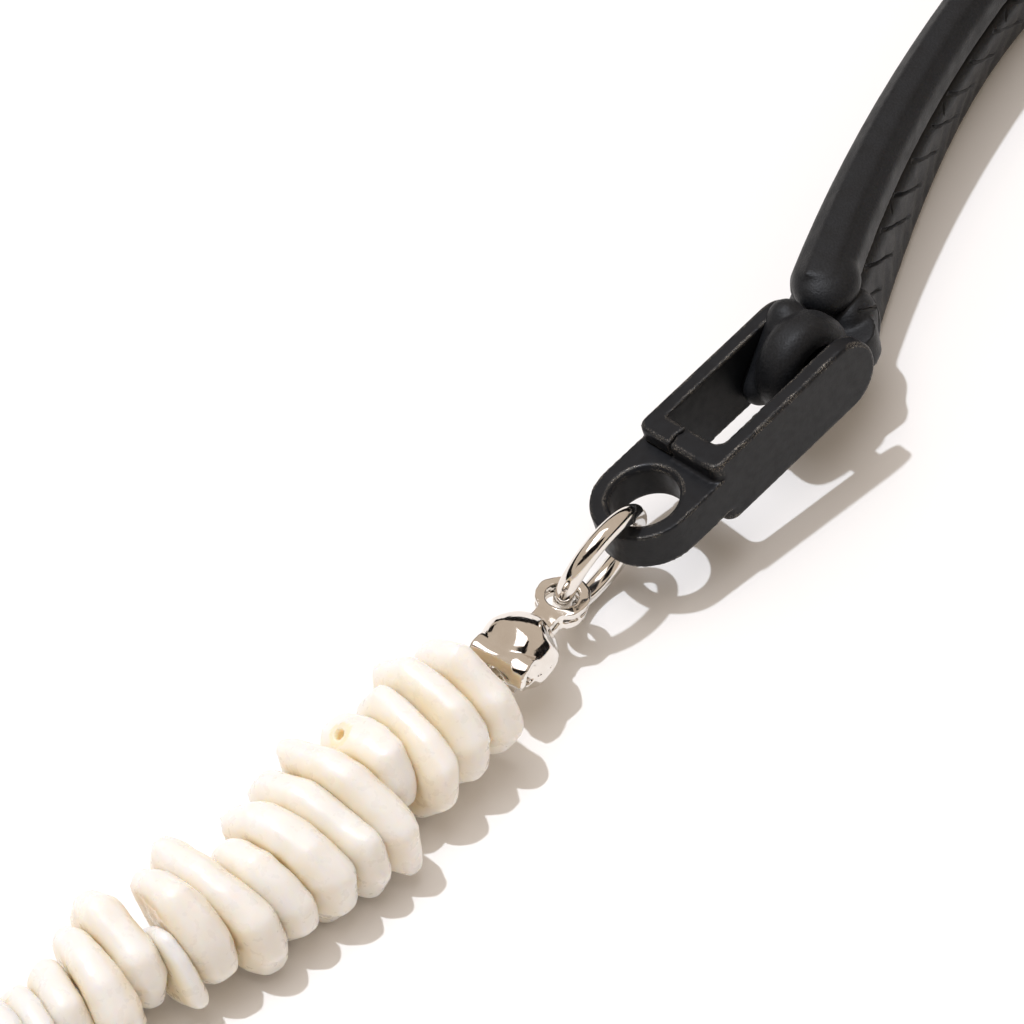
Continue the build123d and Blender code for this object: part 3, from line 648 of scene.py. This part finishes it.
for node, voxel, rounding in (
    ("link_body", LINK_VOXEL, LINK_ROUNDING),
    ("link_cheek", LINK_VOXEL, LINK_ROUNDING),
    ("link_pin", LINK_VOXEL, LINK_ROUNDING),
    ("link_rear", REAR_VOXEL, REAR_ROUNDING),
):
    casting = merged_copy(node, node.replace("link", "black_link"))
    casting.data.materials.append(cast_black.material)
    remesh(casting, voxel)
    soften(casting, rounding)
    apply_all([casting])
    bpy.ops.object.shade_smooth()
    store(casting, "edge", edge_shares(casting))
    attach(casting, "root")
    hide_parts(node)


# Arm
# A bar of matte black rubber moulded on edge. A smooth crowned pad lies along its top, a row of hooked
# strokes is pressed into its inner side, and it ends in an eye at each link.

CORE_VOXEL = 0.14 * MM
PAD_VOXEL = 0.17 * MM
CORE_ROUNDING = 4
PAD_ROUNDING = 10
# The arm's middle line is an arc. Its centre lies to the right of the near eye, square to its heading.
ARC_RADIUS = 120 * MM
ARC_START = math.radians(74 + 90)
NEAR_EYE = Vector((-12.53, 17.18, 0)) * MM
ARC_CENTRE = NEAR_EYE - ARC_RADIUS * Vector((math.cos(ARC_START), math.sin(ARC_START), 0))
# The inner side is what faces the arc's centre below the pad
FLANK_ROUNDING = 70
FLANK_FACING = 0.45
FLANK_TOP = 7.2 * MM
# Each stroke is sawn by a thin wheel that dips into the flank, with a smaller one for the hook at its top.
STROKE_WHEEL = 8.0 * MM
STROKE_DEPTH = 0.55 * MM
STROKE_THICKNESS = 0.24 * MM
STROKE_SLANT = 34
STROKE_START = 7.5
STROKE_STEP = 2.9
STROKE_COUNT = 18
STROKE_HEIGHT = 4.3 * MM
HOOK_WHEEL = 1.6 * MM
HOOK_DEPTH = 0.30 * MM
HOOK_SLANT = -35
HOOK_PLACE = 0.80
# A line of sight to the flank starts this far inside the arc
SIGHT_INSET = 12 * MM
# The near eye's rounded tongue, from its top to its tip: places and radii
TONGUE = (((-13.67, 18.66, 8.3), 1.10), ((-15.12, 16.27, 5.2), 1.02))
# The pad's near end and the core's under it, filled out to smooth noses: places and half sizes
CORE_FILL = ((-9.9, 21.3, 4.6), (1.75, 2.10, 2.50))
PAD_FILL = ((-11.30, 22.35, 7.2), (1.95, 2.30, 1.35))
GRAIN_SIZE = 0.13 * MM
GRAIN_DEPTH = 0.035 * MM
LUMP_SIZE = 1.1 * MM
GRAIN_SHARE, LUMP_SHARE = 0.7, 0.3
RUBBER_BLACK = (0.0048, 0.0054, 0.0066, 1)
RUBBER_GREY = (0.0140, 0.0150, 0.0170, 1)
RUBBER_GLARE = 0.26

black_rubber = Finish("black_rubber")
grain = black_rubber.grain(GRAIN_SIZE, 3, GRAIN_DEPTH, 0.7)
lumps = black_rubber.noise(LUMP_SIZE, 3, 0.5)
fine = black_rubber.spread(grain["Grain"], 0.35, 0.7, 0, GRAIN_SHARE)
coarse = black_rubber.spread(lumps, 0.3, 0.7, 0, LUMP_SHARE)
greyness = black_rubber.math("ADD", fine, coarse)
black_rubber.feed("Base Color", black_rubber.blend(greyness, RUBBER_BLACK, RUBBER_GREY))
black_rubber.feed("Roughness", black_rubber.spread(lumps, 0.3, 0.7, 0.44, 0.58))
black_rubber.feed("Normal", grain["Normal"])
black_rubber.plain(Specular_IOR_Level=RUBBER_GLARE)


def tongue():
    """The near eye's tongue, a cone between two balls."""
    (top, top_radius), (end, end_radius) = [(Vector(place) * MM, radius * MM) for place, radius in TONGUE]
    made = []
    for place, radius in ((top, top_radius), (end, end_radius)):
        bpy.ops.mesh.primitive_uv_sphere_add(segments=32, ring_count=16, radius=radius, location=place)
        made.append(active_piece("tongue_end"))
    span = end - top
    bpy.ops.mesh.primitive_cone_add(
        vertices=32, radius1=top_radius, radius2=end_radius, depth=span.length,
        location=(top + end) / 2, rotation=span.to_track_quat("Z", "Y").to_euler())
    made.append(active_piece("tongue"))
    return made


def nose(name, place, half_sizes):
    """A rounded end in line with the arm's near end."""
    bpy.ops.mesh.primitive_uv_sphere_add(segments=48, ring_count=24, radius=MM, location=Vector(place) * MM)
    made = active_piece(name)
    made.scale = half_sizes
    made.rotation_euler = (0, 0, ARC_START - math.pi)
    return made


def even_flank(core):
    """Smooths the core's inner side alone."""
    flank = core.vertex_groups.new(name="flank")
    inner = [
        corner.index for corner in core.data.vertices
        if corner.normal.dot((ARC_CENTRE - corner.co).normalized()) > FLANK_FACING
        and corner.co.z < FLANK_TOP
    ]
    flank.add(inner, 1.0, "REPLACE")
    soften(core, FLANK_ROUNDING)
    core.modifiers["soften"].vertex_group = "flank"
    apply_all([core])


def wheel(name, radius, point, normal, turn, slant, depth):
    """A thin wheel that dips into the flank at a point, turned by a slant about the flank's normal."""
    along = Vector((math.sin(turn), -math.cos(turn), 0))
    along = (along - normal * along.dot(normal)).normalized()
    down = normal.cross(along)
    if down.z > 0:
        down.negate()
    lean = math.radians(slant)
    line = along * math.cos(lean) + down * math.sin(lean)
    axle = normal.cross(line).normalized()
    bpy.ops.mesh.primitive_cylinder_add(
        vertices=96, radius=radius, depth=STROKE_THICKNESS, location=point + normal * (radius - depth),
        rotation=axle.to_track_quat("Z", "Y").to_euler())
    return active_piece(name), line


def carve_strokes(core):
    """Saws the row of hooked strokes into the core's inner side."""
    long_wheels, hooks = [], []
    half_stroke = math.sqrt(STROKE_WHEEL ** 2 - (STROKE_WHEEL - STROKE_DEPTH) ** 2)
    for step in range(STROKE_COUNT):
        turn = ARC_START - (STROKE_START + STROKE_STEP * step) * MM / ARC_RADIUS
        outward = Vector((math.cos(turn), math.sin(turn), 0))
        start = ARC_CENTRE + outward * (ARC_RADIUS - SIGHT_INSET) + Vector((0, 0, STROKE_HEIGHT))
        hit, point, normal, _ = core.ray_cast(start, outward)
        if not hit:
            continue
        long_wheel, line = wheel("stroke", STROKE_WHEEL, point, normal, turn, STROKE_SLANT, STROKE_DEPTH)
        top = point - line * half_stroke * HOOK_PLACE
        hook, _ = wheel("hook", HOOK_WHEEL, top, normal, turn, HOOK_SLANT, HOOK_DEPTH)
        long_wheels.append(long_wheel)
        hooks.append(hook)
    for wheels in (long_wheels, hooks):
        join_to(wheels[0], wheels[1:])
        cut = core.modifiers.new("strokes", "BOOLEAN")
        cut.operation = "DIFFERENCE"
        cut.solver = "EXACT"
        cut.object = wheels[0]
        apply_all([core])
        bpy.data.objects.remove(wheels[0])


for node, name, voxel, rounding in (
    ("arm_core", "arm_bar", CORE_VOXEL, CORE_ROUNDING),
    ("arm_pad", "arm_top_pad", PAD_VOXEL, PAD_ROUNDING),
):
    moulding = merged_copy(node, name)
    if node == "arm_core":
        join_to(moulding, tongue() + [nose("core_nose", *CORE_FILL)])
    else:
        join_to(moulding, [nose("pad_nose", *PAD_FILL)])
    remesh(moulding, voxel)
    soften(moulding, rounding)
    apply_all([moulding])
    if node == "arm_core":
        even_flank(moulding)
        carve_strokes(moulding)
    bpy.ops.object.shade_smooth()
    moulding.data.materials.append(black_rubber.material)
    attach(moulding, "root")
    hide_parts(node)
